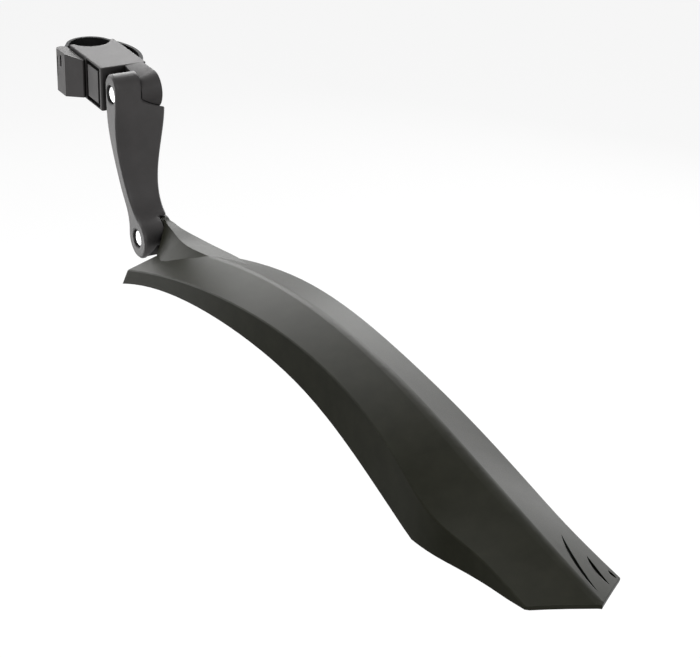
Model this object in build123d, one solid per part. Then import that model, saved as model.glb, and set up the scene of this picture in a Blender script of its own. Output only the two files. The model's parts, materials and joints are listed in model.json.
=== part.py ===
from build123d import *
import math
import os

# Rear bicycle mudguard on a seatpost clamp.
# Millimetres. +Z runs up the seatpost, +X points rearward, +Y is the right side of the bicycle.
# The origin is on the seatpost's axis, halfway up the clamp.

os.makedirs("parts", exist_ok=True)

# Seatpost clamp
post_bore = 31.8
clamp_height = 34.0
clamp_half_width = 18.5
clamp_rear = 66.0
saddle_front = 4.0
clamp_wall = 3.0
core_rib = 2.6
corner_round = 1.6
top_edge_round = 0.8
panel_front = 40.0
panel_rear = 59.5
panel_top = 12.5
panel_bottom = -13.0
panel_groove = 3.2
panel_groove_depth = 2.8
rear_pocket_left = 14.5
rear_pocket_top = 11.0
rear_pocket_bottom = -12.0
rear_pocket_depth = 6.0

# Strap round the front of the seatpost
strap_thickness = 2.6
strap_inset = 3.0
strap_leave_angle = 115.0
strap_bow_start = 6.0
strap_eye_radius = 4.6
strap_gap = 0.4
anchor_x = 53.0
anchor_inset = 1.6
anchor_slot = 13.8
anchor_pin_radius = 1.8

# Clamp lever on the left side
lever_pin_x = 0.5
lever_pin_offset = 23.6
lever_pin_radius = 1.6
lever_knuckle_radius = 4.4
lever_height = 34.0
lever_reach = 34.5
lever_heel = 16.0
lever_thickness = 8.8
lever_tip_thickness = 1.6
lever_tip_round = 0.5
lever_tip_lift = 4.0
lever_gap = 0.5
lever_pin_cover = 2.5
strap_knuckle_height = 16.0
knuckle_gap = 0.3
grip_slot_width = 2.6
grip_slot_length = 9.0
grip_slot_drop = 3.0
grip_slot_depth = 1.6

# Hinges between clamp, arm and blade
upper_pivot_x = 87.2
upper_pivot_drop = 14.0
lower_pivot_back = 25.3
lower_pivot_drop = 108.5
upper_lap_y = 0.2
lower_lap_y = 5.0
friction_washer = 0.8
friction_washer_radius = 8.0
pivot_bolt_radius = 3.0
pivot_fit = 0.05
hinge_gap = 0.6
lug_room = 3.5
tongue_neck = 18.0
tongue_near_radius = 10.2
tongue_far_y = 16.0
socket_front_relief = 9.5
bolt_head_radius = 7.0
bolt_head_height = 3.0
bolt_head_sink = 2.0
bolt_head_gap = 0.35
bolt_chamfer = 0.6
nut_across_flats = 10.0
nut_height = 3.2
nut_sink = 0.4

# Arm
ear_radius = 10.4
ear_rise = 5.0
ear_half_width = 20.0
shoulder_drop = 16.0
waist_drop = 45.0
waist_forward = 0.8
waist_depth = 13.4
neck_drop = 81.0
neck_back = 6.6
neck_depth = 14.4
lug_radius = 15.5
lug_half_width = 12.3
lug_rear_angle = 70.0
lug_front_angle = 175.0
lug_slant_top = (7.9, 13.7)
lug_slant_low = (-9.0, -10.5)
lug_slant_start = 2.0
arm_wall = 3.2
arm_rib = 2.4
arm_rib_count = 2
arm_edge_bevel = 1.4

# Blade
blade_wall = 2.2
ridge_round = 9.0
crease_bevel = 0.7
skirt_full_depth = 62.0
skirt_flare = 1.6
tail_x = 583.2
tail_point = 25.8
tail_half_width = 31.4
# guide curves by distance behind the lower pivot: the ridge's height over it,
# the half width at the creases, and the drop from the ridge to the creases
ridge_guide = [
    (18.0, -1.0), (88.0, 21.5), (188.0, 44.0), (298.0, 53.3), (388.0, 47.5), (463.0, 35.5), (528.0, 24.6),
    (594.0, 14.8)
]
width_guide = [
    (18.0, 33.5), (88.0, 33.0), (188.0, 31.8), (338.0, 27.5), (428.0, 32.4), (466.0, 35.0), (504.0, 32.0),
    (549.0, 31.5), (594.0, 32.6)
]
drop_guide = [
    (18.0, 13.0), (88.0, 11.6), (188.0, 9.6), (338.0, 10.2), (428.0, 15.2), (466.0, 18.4), (504.0, 14.6),
    (549.0, 11.4), (594.0, 8.6)
]
section_step = 24.0
# lower edge of the skirts, from the same pivot
skirt_front = (20.5, -24.8)
skirt_curve = [(70.0, -7.0), (120.0, 6.0), (190.0, 17.0), (240.0, 19.6), (300.0, 16.4), (390.0, -0.8)]
skirt_kink = (446.0, -10.2)
skirt_tail = (540.0, 3.9)
tail_corner_edge = (557.4, 7.4)
tail_edge = (594.0, 6.0)
front_edge_lean = (40.0, 64.0)

# Hinge rib on the blade, from the same pivot: distance behind it, the flat top with its left and
# right edge, then the base with its left and right edge. It falls from the hinge and runs out into the ridge.
rib_stations = [
    (20.0, 21.5, 2.0, 3.4, -6.0, -1.2, 11.5),
    (34.0, 20.4, -0.4, 6.4, -1.5, -10.5, 11.5),
    (49.0, 19.6, -2.0, 9.4, 2.2, -17.0, 13.0),
    (65.0, 19.3, -2.5, 13.2, 7.0, -18.5, 15.5),
    (82.0, 21.4, -2.0, 14.0, 13.5, -14.0, 15.5),
    (98.0, 24.2, -1.4, 14.0, 18.5, -12.5, 15.5),
    (114.0, 26.9, -0.5, 14.0, 22.5, -10.0, 15.0),
    (130.0, 29.6, -0.5, 13.0, 26.0, -8.0, 14.5),
    (148.0, 32.6, -0.5, 10.0, 30.0, -7.0, 11.0),
]
tongue_shoulder = 52.0
tongue_shoulder_top = 8.0
tongue_heel = (34.0, -2.0)

# Vent grooves beside the tail, in plan from the lower pivot: start, bow point, end, greatest width
groove_depth = 1.4
vent_grooves = [
    ((518.0, 18.5), (545.0, 8.0), (571.2, 5.3), 2.4),
    ((537.6, 22.4), (552.0, 17.6), (564.9, 18.2), 2.6),
    ((551.0, 27.8), (555.0, 26.4), (558.6, 28.0), 2.0),
]

# Values that follow from the sizes above
post_radius = post_bore / 2
clamp_top = clamp_height / 2
upper_x = upper_pivot_x
upper_z = clamp_top - upper_pivot_drop
lower_x = upper_x + lower_pivot_back
lower_z = upper_z - lower_pivot_drop
tongue_radius = upper_pivot_drop
upper_tongue_y = upper_lap_y + friction_washer
lower_tongue_y = lower_lap_y + friction_washer
lower_tongue_radius = lug_radius - hinge_gap
strap_half = clamp_top - strap_inset
pin_end = clamp_top - strap_inset / 2
anchor_y = clamp_half_width - anchor_inset
lever_pin_y = -lever_pin_offset
lever_top = strap_half
lever_bottom = lever_top - lever_height
lever_pin_top = lever_top - lever_pin_cover
far = 60.0
guide_tolerance = 1e-9


def span(x0, x1, y0, y1):
    return Pos((x0 + x1) / 2, (y0 + y1) / 2) * Rectangle(x1 - x0, y1 - y0)


def upright(sketch, z0, z1):
    return extrude(Plane.XY.offset(z0) * sketch, amount=z1 - z0)


def across(sketch, y0, y1):
    return extrude(Plane.XZ.offset(-y0) * sketch, amount=-(y1 - y0))


def disc(x, y, radius):
    return Pos(x, y) * Circle(radius)


def taper_disc(x, z, y0, radius0, y1, radius1):
    half = make_face(Polyline((x, y0), (x + radius0, y0), (x + radius1, y1), (x, y1), close=True))
    return revolve(Plane.XY.offset(z) * half, Axis((x, 0, z), (0, 1, 0)))


def facing_rear(x, z, *corners):
    plane = Plane(origin=(x, 0, z), x_dir=(0, 1, 0), z_dir=(1, 0, 0))
    return plane * make_face(Polyline(*corners, close=True))


def nut_outline(x, z, gap):
    return Pos(x, z) * RegularPolygon(nut_across_flats / 2 + gap, 6, major_radius=False)


def round_lower_pivot(radius, angle):
    turn = math.radians(angle)
    return Vector(lower_x + radius * math.cos(turn), lower_z + radius * math.sin(turn))


def tongue_radius_at(y):
    slope = (tongue_radius - tongue_near_radius) / (tongue_far_y - upper_tongue_y)
    return tongue_near_radius + slope * (y - upper_tongue_y)


def make_clamp_body():
    plan = span(saddle_front, clamp_rear, -clamp_half_width, clamp_half_width)
    block = upright(plan, -clamp_top, clamp_top)
    block = fillet(block.edges().filter_by(Axis.Z).group_by(Axis.X)[-1], corner_round)
    block = fillet(block.faces().sort_by(Axis.Z)[-1].edges(), top_edge_round)

    # tongue on the right half: a tapered round end on a neck that runs into the block
    block += taper_disc(upper_x, upper_z, upper_tongue_y, tongue_near_radius, tongue_far_y, tongue_radius)
    neck_low = clamp_top - tongue_neck
    neck_ends = []
    for x, near_top in ((clamp_rear - clamp_wall, clamp_top), (upper_x, upper_z + tongue_near_radius)):
        neck_ends.append(facing_rear(
            x, 0, (upper_tongue_y, neck_low), (upper_tongue_y, near_top),
            (tongue_far_y, clamp_top), (tongue_far_y, neck_low)
        ))
    block += loft(neck_ends)
    block -= upright(disc(0, 0, post_radius), -clamp_top, clamp_top)

    # cores from below, between the saddle wall and the rear wall, parted by a rib
    core_front = post_radius + clamp_wall
    core_rear = clamp_rear - clamp_wall
    core_mid = (core_front + core_rear) / 2
    core_left = -clamp_half_width + panel_groove_depth + clamp_wall
    core_right = anchor_y - strap_eye_radius - strap_gap - clamp_wall
    for x0, x1 in ((core_front, core_mid - core_rib / 2), (core_mid + core_rib / 2, core_rear)):
        block -= upright(span(x0, x1, core_left, core_right), -clamp_top, clamp_top - clamp_wall)

    # pocket in the rear wall beside the tongue
    pocket = span(clamp_rear - rear_pocket_depth, clamp_rear, rear_pocket_bottom, rear_pocket_top)
    block -= across(pocket, -rear_pocket_left, upper_tongue_y - core_rib)

    # groove that frames the panel on the left side
    panel = span(panel_front, panel_rear, panel_bottom, panel_top)
    frame = offset(panel, panel_groove, kind=Kind.INTERSECTION) - panel
    block -= across(frame, -far, -clamp_half_width + panel_groove_depth)

    # seat of the strap's eye, open to the right side
    seat = disc(anchor_x, anchor_y, strap_eye_radius + strap_gap)
    seat += span(anchor_x - anchor_slot, anchor_x + strap_eye_radius + strap_gap, anchor_y, far)
    block -= upright(seat, -strap_half - strap_gap, strap_half + strap_gap)
    block -= upright(disc(anchor_x, anchor_y, anchor_pin_radius), -pin_end, pin_end)

    # pivot hole and the nut's pocket
    block -= across(disc(upper_x, upper_z, pivot_bolt_radius + pivot_fit), upper_tongue_y, tongue_far_y)
    pocket_floor = tongue_far_y - nut_height - nut_sink
    block -= across(nut_outline(upper_x, upper_z, pivot_fit), pocket_floor, tongue_far_y)
    return block


def make_clamp_strap():
    middle = post_radius + strap_thickness / 2
    leave = math.radians(strap_leave_angle)
    leave_right = Vector(middle * math.cos(leave), middle * math.sin(leave))
    heading = Vector(math.sin(leave), -math.cos(leave))
    bow = leave_right + heading * ((strap_bow_start - leave_right.X) / heading.X)
    anchor = Vector(anchor_x, anchor_y + strap_eye_radius - strap_thickness / 2)
    leave_left = Vector(leave_right.X, -leave_right.Y)
    lever_pin = Vector(lever_pin_x, lever_pin_y + lever_knuckle_radius - strap_thickness / 2)

    route = ThreePointArc(leave_left, (-middle, 0), leave_right)
    route += Line(leave_right, bow)
    route += TangentArc(bow, anchor, tangent=heading)
    tail_start = Line(leave_left, lever_pin)
    band = trace(route, strap_thickness) + trace(tail_start, strap_thickness)
    band -= disc(0, 0, post_radius)
    strap = upright(band, -strap_half, strap_half)
    strap += upright(disc(anchor_x, anchor_y, strap_eye_radius), -strap_half, strap_half)
    strap -= upright(disc(anchor_x, anchor_y, anchor_pin_radius), -strap_half, strap_half)

    # the lever's knuckle is narrower than the band, so the band is cut away above and below it
    knuckle_half = strap_knuckle_height / 2
    lever_room = disc(lever_pin_x, lever_pin_y, lever_knuckle_radius + knuckle_gap)
    strap -= upright(lever_room, knuckle_half, clamp_height)
    strap -= upright(lever_room, -clamp_height, -knuckle_half)
    strap += upright(disc(lever_pin_x, lever_pin_y, lever_knuckle_radius), -knuckle_half, knuckle_half)
    strap -= upright(disc(lever_pin_x, lever_pin_y, lever_pin_radius + pivot_fit), -far, far)
    return strap


def make_clamp_lever():
    inner = -clamp_half_width - lever_gap
    outer = inner - lever_thickness
    tip = lever_pin_x + lever_reach
    plate = make_face(Polyline(
        (lever_pin_x, lever_pin_y - lever_knuckle_radius),
        (lever_heel, outer),
        (tip, inner - lever_tip_thickness),
        (tip, inner),
        (saddle_front, inner),
        (lever_pin_x, lever_pin_y + lever_knuckle_radius),
        close=True,
    ))
    plate += disc(lever_pin_x, lever_pin_y, lever_knuckle_radius)
    lever = upright(plate, lever_bottom, lever_top)
    lever = fillet(lever.edges().filter_by(Axis.Z).group_by(Axis.X)[-1], lever_tip_round)
    lever -= across(make_face(Polyline(
        (lever_heel, lever_bottom), (tip, lever_bottom), (tip, lever_bottom + lever_tip_lift), close=True
    )), -far, 0)
    room = disc(lever_pin_x, lever_pin_y, lever_knuckle_radius + knuckle_gap)
    room_half = strap_knuckle_height / 2 + knuckle_gap
    lever -= upright(room, -room_half, room_half)
    lever -= upright(disc(lever_pin_x, lever_pin_y, lever_pin_radius), lever_bottom, lever_pin_top)

    # short upright slot in the front band
    slot_x = (lever_pin_x + lever_heel) / 2
    slot_top = lever_top - grip_slot_drop
    slot_half = grip_slot_width / 2
    slot = span(slot_x - slot_half, slot_x + slot_half, slot_top - grip_slot_length, slot_top)
    lever -= across(slot, -far, outer + grip_slot_depth)
    return lever


def make_arm():
    ear_z = upper_z + ear_rise
    ear_front = Vector(upper_x - ear_radius, ear_z)
    ear_rear = Vector(upper_x + ear_radius, ear_z)
    waist_x = upper_x - waist_forward
    neck_x = upper_x + neck_back
    lug_rear = round_lower_pivot(lug_radius, lug_rear_angle)
    lug_low = round_lower_pivot(lug_radius, (lug_rear_angle + lug_front_angle) / 2 - 180)
    lug_front = round_lower_pivot(lug_radius, lug_front_angle)
    rear_turn = math.radians(lug_rear_angle)
    front_turn = math.radians(lug_front_angle)
    down = Vector(0, -1)
    side = ThreePointArc(ear_front, (upper_x, ear_z + ear_radius), ear_rear)
    side += Spline(
        ear_rear,
        (waist_x + waist_depth / 2, upper_z - waist_drop),
        (neck_x + neck_depth / 2, upper_z - neck_drop),
        lug_rear,
        tangents=(down, Vector(math.sin(rear_turn), -math.cos(rear_turn))),
    )
    side += ThreePointArc(lug_rear, lug_low, lug_front)
    side += Spline(
        lug_front,
        (neck_x - neck_depth / 2, upper_z - neck_drop),
        (waist_x - waist_depth / 2, upper_z - waist_drop),
        ear_front,
        tangents=(Vector(math.sin(front_turn), -math.cos(front_turn)), Vector(0, 1)),
    )
    side_face = make_face(side)

    # seen from behind it narrows in one smooth sweep from the ears to the lug
    shoulder_z = upper_z - shoulder_drop
    lug_top_z = lower_z + lug_radius
    top_z = ear_z + ear_radius
    bottom_z = lower_z - lug_radius

    def rear_face(inset):
        wide = ear_half_width - inset
        narrow = lug_half_width - inset
        right = [
            Line((wide, top_z), (wide, shoulder_z)),
            Spline((wide, shoulder_z), (narrow, lug_top_z), tangents=(down, down)),
            Line((narrow, lug_top_z), (narrow, bottom_z)),
        ]
        left = [mirror(edge, about=Plane.YZ) for edge in right]
        ends = [Line((-wide, top_z), (wide, top_z)), Line((-narrow, bottom_z), (narrow, bottom_z))]
        return make_face(Curve() + right + left + ends)

    rear_plane = Plane(origin=(0, 0, 0), x_dir=(0, 1, 0), z_dir=(1, 0, 0))
    rear_prism = extrude(rear_plane * rear_face(0), amount=lower_x + far)
    arm = across(side_face, -far, far) & rear_prism
    outline = arm.edges() - arm.edges().filter_by(Axis.X) - arm.edges().filter_by(Axis.Y)
    arm = chamfer(outline, arm_edge_bevel)

    # half laps: the right half is cut away round the clamp's tongue and over the blade's tongue
    rear_end = lower_x + far
    socket_start = tongue_radius_at(upper_lap_y) + hinge_gap
    socket_end = tongue_radius_at(far) + hinge_gap
    arm -= taper_disc(upper_x, upper_z, upper_lap_y, socket_start, far, socket_end)
    arm -= across(span(0, rear_end, upper_z, top_z), upper_lap_y, far)
    arm -= across(span(0, upper_x, upper_z - socket_front_relief, top_z), upper_lap_y, far)
    arm -= across(span(0, rear_end, bottom_z, lug_top_z + hinge_gap), lower_lap_y, far)

    # the lug's rear is cut back on a slant, but for a round boss under the washer
    slant = extrude(facing_rear(
        lower_x + lug_slant_start, lower_z, lug_slant_top, lug_slant_low,
        (lug_slant_low[0], -far), (far, -far), (far, lug_slant_top[1])
    ), amount=far)
    arm -= slant - across(disc(lower_x, lower_z, friction_washer_radius), -far, far)

    # cored from the front, with cross ribs
    core_side = Pos(-arm_wall, 0) * side_face + Pos(-arm_wall - ear_radius, 0) * side_face
    core_top = upper_z - tongue_radius - hinge_gap - arm_wall
    core_bottom = lug_top_z + arm_wall
    core = across(core_side, -far, far)
    core &= extrude(rear_plane * rear_face(arm_wall), amount=lower_x + far)
    core &= across(span(0, rear_end, core_bottom, core_top), -far, far)
    core_step = (core_top - core_bottom) / (arm_rib_count + 1)
    for k in range(arm_rib_count):
        z = core_bottom + (k + 1) * core_step
        core -= across(span(0, rear_end, z - arm_rib / 2, z + arm_rib / 2), -far, far)
    arm -= core

    # bolt holes and counterbores
    for x, z, face_y in ((upper_x, upper_z, -ear_half_width), (lower_x, lower_z, -lug_half_width)):
        arm -= across(disc(x, z, pivot_bolt_radius + pivot_fit), -far, far)
        floor = face_y + bolt_head_sink + bolt_head_height
        arm -= across(disc(x, z, bolt_head_radius + bolt_head_gap), -far, floor)
    return arm


def read_guide(guide, run):
    low = 0.0
    high = 1.0
    while high - low > guide_tolerance:
        middle = (low + high) / 2
        if (guide @ middle).X < run:
            low = middle
        else:
            high = middle
    return (guide @ low).Y


def blade_section(run, inset):
    height = read_guide(Spline(*ridge_guide), run)
    half = read_guide(Spline(*width_guide), run)
    slope = math.atan2(read_guide(Spline(*drop_guide), run), half)
    ridge_z = lower_z + height - inset / math.cos(slope)
    crease_y = half - inset
    crease_z = ridge_z - crease_y * math.tan(slope)
    foot_y = crease_y + skirt_flare
    foot_z = lower_z + height - skirt_full_depth - inset
    rim = make_face(Polyline(
        (-foot_y, foot_z), (-crease_y, crease_z), (0, ridge_z), (crease_y, crease_z), (foot_y, foot_z),
        close=True
    ))
    rim = fillet(rim.vertices().sort_by(Axis.Y)[-1], ridge_round - inset)
    if inset == 0:
        rim = chamfer(rim.vertices().group_by(Axis.Y)[1], crease_bevel)
    return Plane(origin=(lower_x + run, 0, 0), x_dir=(0, 1, 0), z_dir=(1, 0, 0)) * rim


def blade_loft(inset):
    first = ridge_guide[0][0]
    last = ridge_guide[-1][0]
    steps = round((last - first) / section_step)
    return loft([blade_section(first + (last - first) * k / steps, inset) for k in range(steps + 1)])


def from_pivot(point):
    return Vector(lower_x + point[0], lower_z + point[1])


def make_blade():
    outer = blade_loft(0)
    inner = blade_loft(blade_wall)

    # side outline: leaning front edge, curved lower edge, kink and straight run to the tail corner
    front_low = from_pivot(skirt_front)
    kink = from_pivot(skirt_kink)
    tail_corner = from_pivot(skirt_tail)
    front_high = front_low + Vector(*front_edge_lean)
    lower_edge = Spline(front_low, *[from_pivot(p) for p in skirt_curve], kink)
    rim = lower_edge + Line(kink, tail_corner)
    beyond = lower_x + tail_x + far
    rim += Polyline(
        tail_corner, from_pivot(tail_corner_edge), from_pivot(tail_edge), (beyond, upper_z),
        (front_high.X, upper_z), front_high, front_low
    )
    shell = (outer - inner) & across(make_face(rim), -far, far)

    # plan outline: the tail comes to a shallow point
    tip = lower_x + tail_x
    back = tail_point * far / tail_half_width
    side = tip - back
    plan = make_face(Polyline((0, -far), (side, -far), (tip, 0), (side, far), (0, far), close=True))
    shell &= upright(plan, lower_z - far, upper_z)

    # vent grooves sunk in the right panel
    skin = outer - blade_loft(groove_depth)
    for start, bow, end, width in vent_grooves:
        shell -= upright(groove_outline(start, bow, end, width), lower_z - far, upper_z) & skin

    # rib, and the tongue on its right half that meets the arm's lug
    sections = []
    for run, top, top_left, top_right, base, base_left, base_right in rib_stations:
        sections.append(facing_rear(
            lower_x + run, lower_z, (base_left, base), (top_left, top), (top_right, top), (base_right, base)
        ))
    rib = loft(sections)
    rib_start = rib_stations[0][0]
    rib_start_base = rib_stations[0][4]
    tongue_side = disc(lower_x, lower_z, lower_tongue_radius)
    tongue_side += make_face(Polyline(
        round_lower_pivot(lower_tongue_radius, tongue_shoulder),
        from_pivot((rib_start, tongue_shoulder_top)),
        from_pivot(tongue_heel),
        from_pivot((rib_start, rib_start_base)),
        (lower_x, lower_z - lower_tongue_radius),
        (lower_x, lower_z),
        close=True,
    ))
    tongue = across(tongue_side, lower_tongue_y, lug_half_width)
    room = across(disc(lower_x, lower_z, lug_radius + lug_room), -far, lower_tongue_y)
    blade = shell + ((rib + tongue) - inner - room)
    blade -= across(disc(lower_x, lower_z, pivot_bolt_radius + pivot_fit), lower_tongue_y, lug_half_width)
    pocket_floor = lug_half_width - nut_height - nut_sink
    blade -= across(nut_outline(lower_x, lower_z, pivot_fit), pocket_floor, lug_half_width)
    return blade


def groove_outline(start, bow, end, width):
    a = Vector(lower_x + start[0], start[1])
    b = Vector(lower_x + bow[0], bow[1])
    c = Vector(lower_x + end[0], end[1])
    aside = (c - a).normalized().rotate(Axis.Z, 90) * width
    return make_face([ThreePointArc(a, b, c), ThreePointArc(c, b + aside, a)])


def make_pivot_bolt(x, z, face_y, end_y):
    head_top = face_y + bolt_head_sink
    head_under = head_top + bolt_head_height
    head = across(disc(x, z, bolt_head_radius), head_top, head_under)
    head = chamfer(head.faces().sort_by(Axis.Y)[0].edges(), bolt_chamfer)
    return head + across(disc(x, z, pivot_bolt_radius), head_under, end_y)


def make_pivot_nut(x, z, face_y):
    nut = across(nut_outline(x, z, 0), face_y - nut_sink - nut_height, face_y - nut_sink)
    return nut - across(disc(x, z, pivot_bolt_radius), -far, far)


def make_friction_washer(x, z, lap_y):
    ring = disc(x, z, friction_washer_radius) - disc(x, z, pivot_bolt_radius + pivot_fit)
    return across(ring, lap_y, lap_y + friction_washer)


nodes = {
    "clamp_body": make_clamp_body(),
    "clamp_strap": make_clamp_strap(),
    "clamp_lever": make_clamp_lever(),
    "strap_anchor_pin": upright(disc(anchor_x, anchor_y, anchor_pin_radius), -pin_end, pin_end),
    "lever_pin": upright(disc(lever_pin_x, lever_pin_y, lever_pin_radius), lever_bottom, lever_pin_top),
    "arm": make_arm(),
    "blade": make_blade(),
    "upper_pivot_bolt": make_pivot_bolt(upper_x, upper_z, -ear_half_width, tongue_far_y - nut_sink),
    "upper_pivot_nut": make_pivot_nut(upper_x, upper_z, tongue_far_y),
    "upper_friction_washer": make_friction_washer(upper_x, upper_z, upper_lap_y),
    "lower_pivot_bolt": make_pivot_bolt(lower_x, lower_z, -lug_half_width, lug_half_width - nut_sink),
    "lower_pivot_nut": make_pivot_nut(lower_x, lower_z, lug_half_width),
    "lower_friction_washer": make_friction_washer(lower_x, lower_z, lower_lap_y),
}

for name, solid in nodes.items():
    export_step(solid, f"parts/{name}.step")
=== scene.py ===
import json
import math

import bpy
from mathutils import Matrix, Vector


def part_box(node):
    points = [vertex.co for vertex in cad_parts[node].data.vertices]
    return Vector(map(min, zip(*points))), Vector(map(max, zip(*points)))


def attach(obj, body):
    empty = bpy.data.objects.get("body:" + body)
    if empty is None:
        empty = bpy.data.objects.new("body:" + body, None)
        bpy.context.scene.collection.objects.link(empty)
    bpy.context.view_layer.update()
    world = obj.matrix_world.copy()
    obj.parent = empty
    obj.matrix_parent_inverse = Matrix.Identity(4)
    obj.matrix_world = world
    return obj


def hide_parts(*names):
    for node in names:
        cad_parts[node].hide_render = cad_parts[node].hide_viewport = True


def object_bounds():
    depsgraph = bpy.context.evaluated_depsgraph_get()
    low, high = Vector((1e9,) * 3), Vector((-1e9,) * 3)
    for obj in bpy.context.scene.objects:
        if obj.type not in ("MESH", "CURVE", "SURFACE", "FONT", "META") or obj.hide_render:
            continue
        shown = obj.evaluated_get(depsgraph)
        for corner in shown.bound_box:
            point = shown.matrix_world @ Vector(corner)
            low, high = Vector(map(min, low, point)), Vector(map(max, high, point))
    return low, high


# Rear mudguard on a seatpost clamp: finishes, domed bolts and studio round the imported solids
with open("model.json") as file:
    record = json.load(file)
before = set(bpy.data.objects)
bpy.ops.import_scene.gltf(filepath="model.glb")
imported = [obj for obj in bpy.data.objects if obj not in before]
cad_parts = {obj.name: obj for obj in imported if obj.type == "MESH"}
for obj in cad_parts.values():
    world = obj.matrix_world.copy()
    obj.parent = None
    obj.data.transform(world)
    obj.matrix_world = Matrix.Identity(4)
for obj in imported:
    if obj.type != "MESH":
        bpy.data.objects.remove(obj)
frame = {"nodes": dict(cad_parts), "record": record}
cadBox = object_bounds()
nodes = frame["nodes"]
scene = bpy.context.scene
print("frame loaded:", len(nodes), "nodes")


# Shader nodes that the materials share

def startMaterial(name):
    mat = bpy.data.materials.new(name)
    mat.use_nodes = True
    tree = mat.node_tree
    shader = tree.nodes["Principled BSDF"]
    coords = tree.nodes.new("ShaderNodeTexCoord")
    return mat, tree, shader, coords


def addNoise(tree, coords, scale, detail, roughness):
    noise = tree.nodes.new("ShaderNodeTexNoise")
    noise.inputs["Scale"].default_value = scale
    noise.inputs["Detail"].default_value = detail
    noise.inputs["Roughness"].default_value = roughness
    tree.links.new(coords.outputs["Object"], noise.inputs["Vector"])
    return noise


def addRamp(tree, source, low, high, start=0.3, end=0.7):
    ramp = tree.nodes.new("ShaderNodeValToRGB")
    ramp.color_ramp.elements[0].position = start
    ramp.color_ramp.elements[1].position = end
    ramp.color_ramp.elements[0].color = (*low, 1)
    ramp.color_ramp.elements[1].color = (*high, 1)
    tree.links.new(source, ramp.inputs["Fac"])
    return ramp


def addRange(tree, source, low, high, start=0.3, end=0.7):
    remap = tree.nodes.new("ShaderNodeMapRange")
    remap.inputs["From Min"].default_value = start
    remap.inputs["From Max"].default_value = end
    remap.inputs["To Min"].default_value = low
    remap.inputs["To Max"].default_value = high
    tree.links.new(source, remap.inputs["Value"])
    return remap


def addBump(tree, shader, source, strength, depth):
    bump = tree.nodes.new("ShaderNodeBump")
    bump.inputs["Strength"].default_value = strength
    bump.inputs["Distance"].default_value = depth
    tree.links.new(source, bump.inputs["Height"])
    tree.links.new(bump.outputs["Normal"], shader.inputs["Normal"])
    return bump


def addMath(tree, operation, first, second):
    node = tree.nodes.new("ShaderNodeMath")
    node.operation = operation
    tree.links.new(first, node.inputs[0])
    tree.links.new(second, node.inputs[1])
    return node.outputs["Value"]


# Moulded plastics and the strap's rubber

bodyPlastic = {
    "dark": (0.0740, 0.0705, 0.0705),
    "light": (0.0880, 0.0840, 0.0840),
    "cloudScale": 60,             # broad tone drift of the moulding
    "cloudDetail": 4,
    "cloudRoughness": 0.55,
    "grainScale": 2600,           # fine eroded texture
    "grainDetail": 2,
    "grainRoughness": 0.5,
    "grainDepth": 0.00003,
    "grainStrength": 0.35,
    "roughLow": 0.42,
    "roughHigh": 0.52,
    "specular": 0.09,
    "edgeRadius": 0.0007,         # moulded edges are a little soft
    "edgeSamples": 6,
    # Painted shade: ambient occlusion darkens the base colour in corners, gaps and recesses
    "paintedShadeReach": 0.025,        # painted shade: corners and gaps are darkened in the base colour over this distance
    "paintedShadeSamples": 8,
    "paintedShadeSpan": (0.40, 0.85),  # painted shade runs from its darkest in a deep gap to none on an open face
    "paintedShadeDarkest": 0.10,
}
armPlastic = dict(bodyPlastic, specular=0.28, edgeRadius=0.0030)
bladePlastic = dict(
    bodyPlastic,
    dark=(0.0160, 0.0164, 0.0105),
    light=(0.0215, 0.0220, 0.0145),
    roughLow=0.34,
    roughHigh=0.44,
    specular=0.1,
    sideSpecular=0.015,           # its side walls are more matt
    sideSpan=(0.5, 0.8),
)
washerPlastic = dict(
    bodyPlastic,
    dark=(0.008, 0.008, 0.008),
    light=(0.014, 0.014, 0.014),
    roughLow=0.5,
    roughHigh=0.6,
)
strapRubber = dict(
    bodyPlastic,
    dark=(0.010, 0.010, 0.010),
    light=(0.017, 0.017, 0.017),
    grainScale=1500,
    roughLow=0.55,
    roughHigh=0.68,
)


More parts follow.
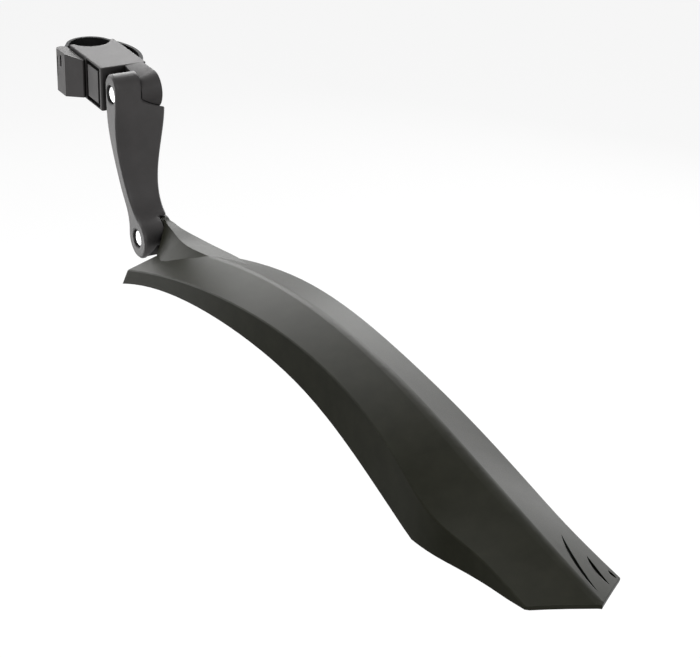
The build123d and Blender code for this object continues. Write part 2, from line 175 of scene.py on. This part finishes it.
def mouldedPlastic(name, look):
    mat, tree, shader, coords = startMaterial(name)
    cloud = addNoise(tree, coords, look["cloudScale"], look["cloudDetail"], look["cloudRoughness"])
    tone = addRamp(tree, cloud.outputs["Fac"], look["dark"], look["light"])
    # Painted shade: the base colour is scaled down by ambient occlusion, darkest in deep gaps
    # between parts
    paintedShadeOcclusion = tree.nodes.new("ShaderNodeAmbientOcclusion")
    paintedShadeOcclusion.samples = look["paintedShadeSamples"]
    paintedShadeOcclusion.inputs["Distance"].default_value = look["paintedShadeReach"]
    paintedShadeFactor = addRange(tree, paintedShadeOcclusion.outputs["AO"], look["paintedShadeDarkest"], 1.0, *look["paintedShadeSpan"])
    paintedShadeColour = tree.nodes.new("ShaderNodeVectorMath")
    paintedShadeColour.operation = "SCALE"
    tree.links.new(tone.outputs["Color"], paintedShadeColour.inputs["Vector"])
    tree.links.new(paintedShadeFactor.outputs["Result"], paintedShadeColour.inputs["Scale"])
    tree.links.new(paintedShadeColour.outputs["Vector"], shader.inputs["Base Color"])
    shader.inputs["Specular IOR Level"].default_value = look["specular"]
    if "sideSpecular" in look:  # less sheen where the face looks left or right
        split = tree.nodes.new("ShaderNodeSeparateXYZ")
        tree.links.new(coords.outputs["Normal"], split.inputs["Vector"])
        sideways = addMath(tree, "MULTIPLY", split.outputs["Y"], split.outputs["Y"])
        sheen = addRange(tree, sideways, look["specular"], look["sideSpecular"], *look["sideSpan"])
        tree.links.new(sheen.outputs["Result"], shader.inputs["Specular IOR Level"])
    grain = addNoise(tree, coords, look["grainScale"], look["grainDetail"], look["grainRoughness"])
    rough = addRange(tree, grain.outputs["Fac"], look["roughLow"], look["roughHigh"])
    tree.links.new(rough.outputs["Result"], shader.inputs["Roughness"])
    bump = addBump(tree, shader, grain.outputs["Fac"], look["grainStrength"], look["grainDepth"])
    edge = tree.nodes.new("ShaderNodeBevel")
    edge.samples = look["edgeSamples"]
    edge.inputs["Radius"].default_value = look["edgeRadius"]
    tree.links.new(edge.outputs["Normal"], bump.inputs["Normal"])
    return mat


# Steel of the bolts, nuts and pins

boltSteel = {
    "dark": (0.80, 0.80, 0.81),
    "light": (0.92, 0.92, 0.92),
    "cloudScale": 300,
    "cloudDetail": 3,
    "cloudRoughness": 0.5,
    "lineScale": 900,             # fine tool marks
    "lineDetail": 2,
    "lineRoughness": 0.6,
    "lineDepth": 0.00001,
    "lineStrength": 0.2,
    "roughLow": 0.16,
    "roughHigh": 0.28,
}
pinSteel = dict(
    boltSteel,
    dark=(0.42, 0.42, 0.43),
    light=(0.56, 0.56, 0.56),
    roughLow=0.28,
    roughHigh=0.42,
)


def turnedSteel(name, look):
    mat, tree, shader, coords = startMaterial(name)
    cloud = addNoise(tree, coords, look["cloudScale"], look["cloudDetail"], look["cloudRoughness"])
    tone = addRamp(tree, cloud.outputs["Fac"], look["dark"], look["light"])
    tree.links.new(tone.outputs["Color"], shader.inputs["Base Color"])
    fine = addNoise(tree, coords, look["lineScale"], look["lineDetail"], look["lineRoughness"])
    rough = addRange(tree, fine.outputs["Fac"], look["roughLow"], look["roughHigh"])
    tree.links.new(rough.outputs["Result"], shader.inputs["Roughness"])
    addBump(tree, shader, fine.outputs["Fac"], look["lineStrength"], look["lineDepth"])
    shader.inputs["Metallic"].default_value = 1.0
    return mat


finishes = {
    "body_plastic": mouldedPlastic("bodyPlastic", bodyPlastic),
    "blade_plastic": mouldedPlastic("bladePlastic", bladePlastic),
    "strap_rubber": mouldedPlastic("strapRubber", strapRubber),
    "washer_plastic": mouldedPlastic("washerPlastic", washerPlastic),
    "bolt_steel": turnedSteel("boltSteel", boltSteel),
    "pin_steel": turnedSteel("pinSteel", pinSteel),
}
slotOf = {row["node"]: row["material_slot"] for row in frame["record"]["subparts"]}
for name, node in nodes.items():
    node.data.materials.clear()
    node.data.materials.append(finishes[slotOf[name]])
# The arm has softer edges and more sheen than the clamp
nodes["arm"].data.materials[0] = mouldedPlastic("armPlastic", armPlastic)
print("finishes set:", len(finishes))


# Pivot bolts: the same shank, with a domed head that fills its counterbore

boltShape = {
    "headRadius": 0.0070,
    "shankRadius": 0.0030,
    "headHeight": 0.0030,
    "crown": 0.0014,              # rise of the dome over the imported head
    "rim": 0.0006,                # straight wall before the dome
    "fullness": 0.6,              # below 1 the dome keeps wide before it closes
    "steps": 64,
    "domeSteps": 10,
}


def boltProfile(low, high, shape):
    headUnder = low.y + shape["headHeight"]
    domeFoot = low.y + shape["rim"]
    profile = [
        (high.y, shape["shankRadius"]),
        (headUnder, shape["shankRadius"]),
        (headUnder, shape["headRadius"]),
    ]
    for k in range(shape["domeSteps"]):
        turn = math.pi / 2 * k / shape["domeSteps"]
        rise = (shape["crown"] + shape["rim"]) * math.sin(turn)
        profile.append((domeFoot - rise, shape["headRadius"] * math.cos(turn) ** shape["fullness"]))
    return profile


def makeBolt(node, shape):
    low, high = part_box(node)
    x, z = (low.x + high.x) / 2, (low.z + high.z) / 2
    profile = boltProfile(low, high, shape)
    count = shape["steps"]
    verts, faces = [], []
    for y, radius in profile:
        for k in range(count):
            turn = 2 * math.pi * k / count
            verts.append((x + radius * math.cos(turn), y, z + radius * math.sin(turn)))
    for row in range(len(profile) - 1):
        for k in range(count):
            a, b = row * count + k, row * count + (k + 1) % count
            faces.append((a, b, b + count, a + count))
    lastRing = (len(profile) - 1) * count
    endPole, topPole = len(verts), len(verts) + 1
    verts += [(x, high.y, z), (x, low.y - shape["crown"], z)]
    for k in range(count):  # close both ends
        faces.append((endPole, (k + 1) % count, k))
        faces.append((topPole, lastRing + k, lastRing + (k + 1) % count))
    name = node + ".domed"
    mesh = bpy.data.meshes.new(name)
    mesh.from_pydata(verts, [], faces)
    mesh.validate()
    mesh.materials.append(finishes["bolt_steel"])
    for face in mesh.polygons:
        face.use_smooth = True
    bolt = bpy.data.objects.new(name, mesh)
    scene.collection.objects.link(bolt)
    bodies = frame["record"]["behaviour"]["bodies"]
    bodyName = next(body for body, members in bodies.items() if node in members)
    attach(bolt, bodyName)
    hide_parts(node)


for node in ("upper_pivot_bolt", "lower_pivot_bolt"):
    makeBolt(node, boltShape)
print("bolts made")


# Floor

floorPlan = {
    "drop": 1.0,                  # how far it lies below the part
    "size": 60.0,
    "tone": (0.12, 0.12, 0.12),
    "toneDrift": 0.98,
    "cloudScale": 3,
    "cloudDetail": 2,
    "cloudRoughness": 0.5,
    "roughness": 0.9,
    "glow": 0.90,                 # white paper, to the camera and to reflections
}


def makeFloor(plan):
    half = plan["size"] / 2
    z = cadBox[0].z - plan["drop"]
    corners = [(-half, -half, z), (half, -half, z), (half, half, z), (-half, half, z)]
    mesh = bpy.data.meshes.new("floor")
    mesh.from_pydata(corners, [], [(0, 1, 2, 3)])
    floor = bpy.data.objects.new("floor", mesh)
    scene.collection.objects.link(floor)
    mat, tree, shader, coords = startMaterial("floorPaper")
    cloud = addNoise(tree, coords, plan["cloudScale"], plan["cloudDetail"], plan["cloudRoughness"])
    darker = tuple(value * plan["toneDrift"] for value in plan["tone"])
    tone = addRamp(tree, cloud.outputs["Fac"], darker, plan["tone"])
    tree.links.new(tone.outputs["Color"], shader.inputs["Base Color"])
    path = tree.nodes.new("ShaderNodeLightPath")
    glossy, through = path.outputs["Is Glossy Ray"], path.outputs["Is Transmission Ray"]
    mirrored = addMath(tree, "MAXIMUM", glossy, through)
    seen = addMath(tree, "MAXIMUM", path.outputs["Is Camera Ray"], mirrored)
    glow = addRange(tree, seen, 0.0, plan["glow"], 0.0, 1.0)
    tree.links.new(glow.outputs["Result"], shader.inputs["Emission Strength"])
    shader.inputs["Emission Color"].default_value = (1, 1, 1, 1)
    shader.inputs["Roughness"].default_value = plan["roughness"]
    shader.inputs["Specular IOR Level"].default_value = 0.0
    mesh.materials.append(mat)


makeFloor(floorPlan)


# Lamps, all square soft boxes

partMiddle = (0.35, 0.0, -0.05)
bladeFront = (0.20, 0.0, -0.05)
armMiddle = (0.10, 0.0, -0.05)
lamps = {
    "softbox": {"place": (-1.11, 0.85, 0.80), "aim": partMiddle, "size": 0.9, "power": 14.2},
    "front": {"place": (-2.53, 0.61, 0.56), "aim": partMiddle, "size": 2.0, "power": 10.4},
    "frontHigh": {"place": (-1.20, 0.22, 1.50), "aim": partMiddle, "size": 1.2, "power": 12.5},
    "right": {"place": (-1.43, 2.37, 0.39), "aim": partMiddle, "size": 2.0, "power": 35.0},
    "nearFront": {"place": (-0.45, 0.14, 0.13), "aim": bladeFront, "size": 0.4, "power": 1.35},
    "leftCard": {"place": (-0.34, -0.26, -0.24), "aim": armMiddle, "size": 0.35, "power": 0.80},
    "frontLeft": {"place": (-1.75, -1.02, 0.85), "aim": bladeFront, "size": 1.8, "power": 42.0},
    "fill": {"place": (2.25, -1.07, 1.14), "aim": partMiddle, "size": 1.5, "power": 33.0},
    "rearRight": {"place": (1.85, 1.88, 0.70), "aim": partMiddle, "size": 1.5, "power": 10.0},
}


def makeLamp(name, look):
    data = bpy.data.lights.new(name, "AREA")
    data.shape = "SQUARE"
    data.size = look["size"]
    data.energy = look["power"]
    lamp = bpy.data.objects.new(name, data)
    scene.collection.objects.link(lamp)
    place = Vector(look["place"])
    lamp.location = place
    lamp.rotation_euler = (Vector(look["aim"]) - place).to_track_quat("-Z", "Y").to_euler()


for name, look in lamps.items():
    makeLamp(name, look)


# Dim room, a little lighter overhead

worldLook = {"horizon": 0.08, "overhead": 0.12, "rampStart": 0.6, "rampEnd": 0.8, "strength": 1.0}


def makeWorld(look):
    world = bpy.data.worlds.new("studio")
    world.use_nodes = True
    tree = world.node_tree
    sky = tree.nodes["Background"]
    coords = tree.nodes.new("ShaderNodeTexCoord")
    split = tree.nodes.new("ShaderNodeSeparateXYZ")
    tree.links.new(coords.outputs["Generated"], split.inputs["Vector"])
    low, high = (look["horizon"],) * 3, (look["overhead"],) * 3
    grey = addRamp(tree, split.outputs["Z"], low, high, look["rampStart"], look["rampEnd"])
    tree.links.new(grey.outputs["Color"], sky.inputs["Color"])
    sky.inputs["Strength"].default_value = look["strength"]
    scene.world = world


makeWorld(worldLook)
print("stage and lamps set")


# Camera, at the photograph's viewing angle

cameraFit = {
    "place": (1.3862, -0.5598, 0.5071),
    "azimuth": 59.94,
    "elevation": 26.43,
    "roll": 1.65,
    "focalPixels": 1974.93,
    "imageWidth": 700,
    "sensorWidth": 36,
}


def makeCamera(fit):
    a, e, r = (math.radians(fit[key]) for key in ("azimuth", "elevation", "roll"))
    back = Vector((math.sin(a) * math.cos(e), -math.cos(a) * math.cos(e), math.sin(e)))
    right = Vector((math.cos(a), math.sin(a), 0))
    up = back.cross(right)
    rolledRight = right * math.cos(r) + up * math.sin(r)
    rolledUp = up * math.cos(r) - right * math.sin(r)
    data = bpy.data.cameras.new("camera")
    data.sensor_width = fit["sensorWidth"]
    data.lens = fit["focalPixels"] / fit["imageWidth"] * fit["sensorWidth"]
    cam = bpy.data.objects.new("camera", data)
    scene.collection.objects.link(cam)
    turn = Matrix((rolledRight, rolledUp, back)).transposed().to_4x4()
    cam.matrix_world = Matrix.Translation(Vector(fit["place"])) @ turn
    scene.camera = cam


makeCamera(cameraFit)
scene.view_settings.view_transform = "Standard"
print("camera set")
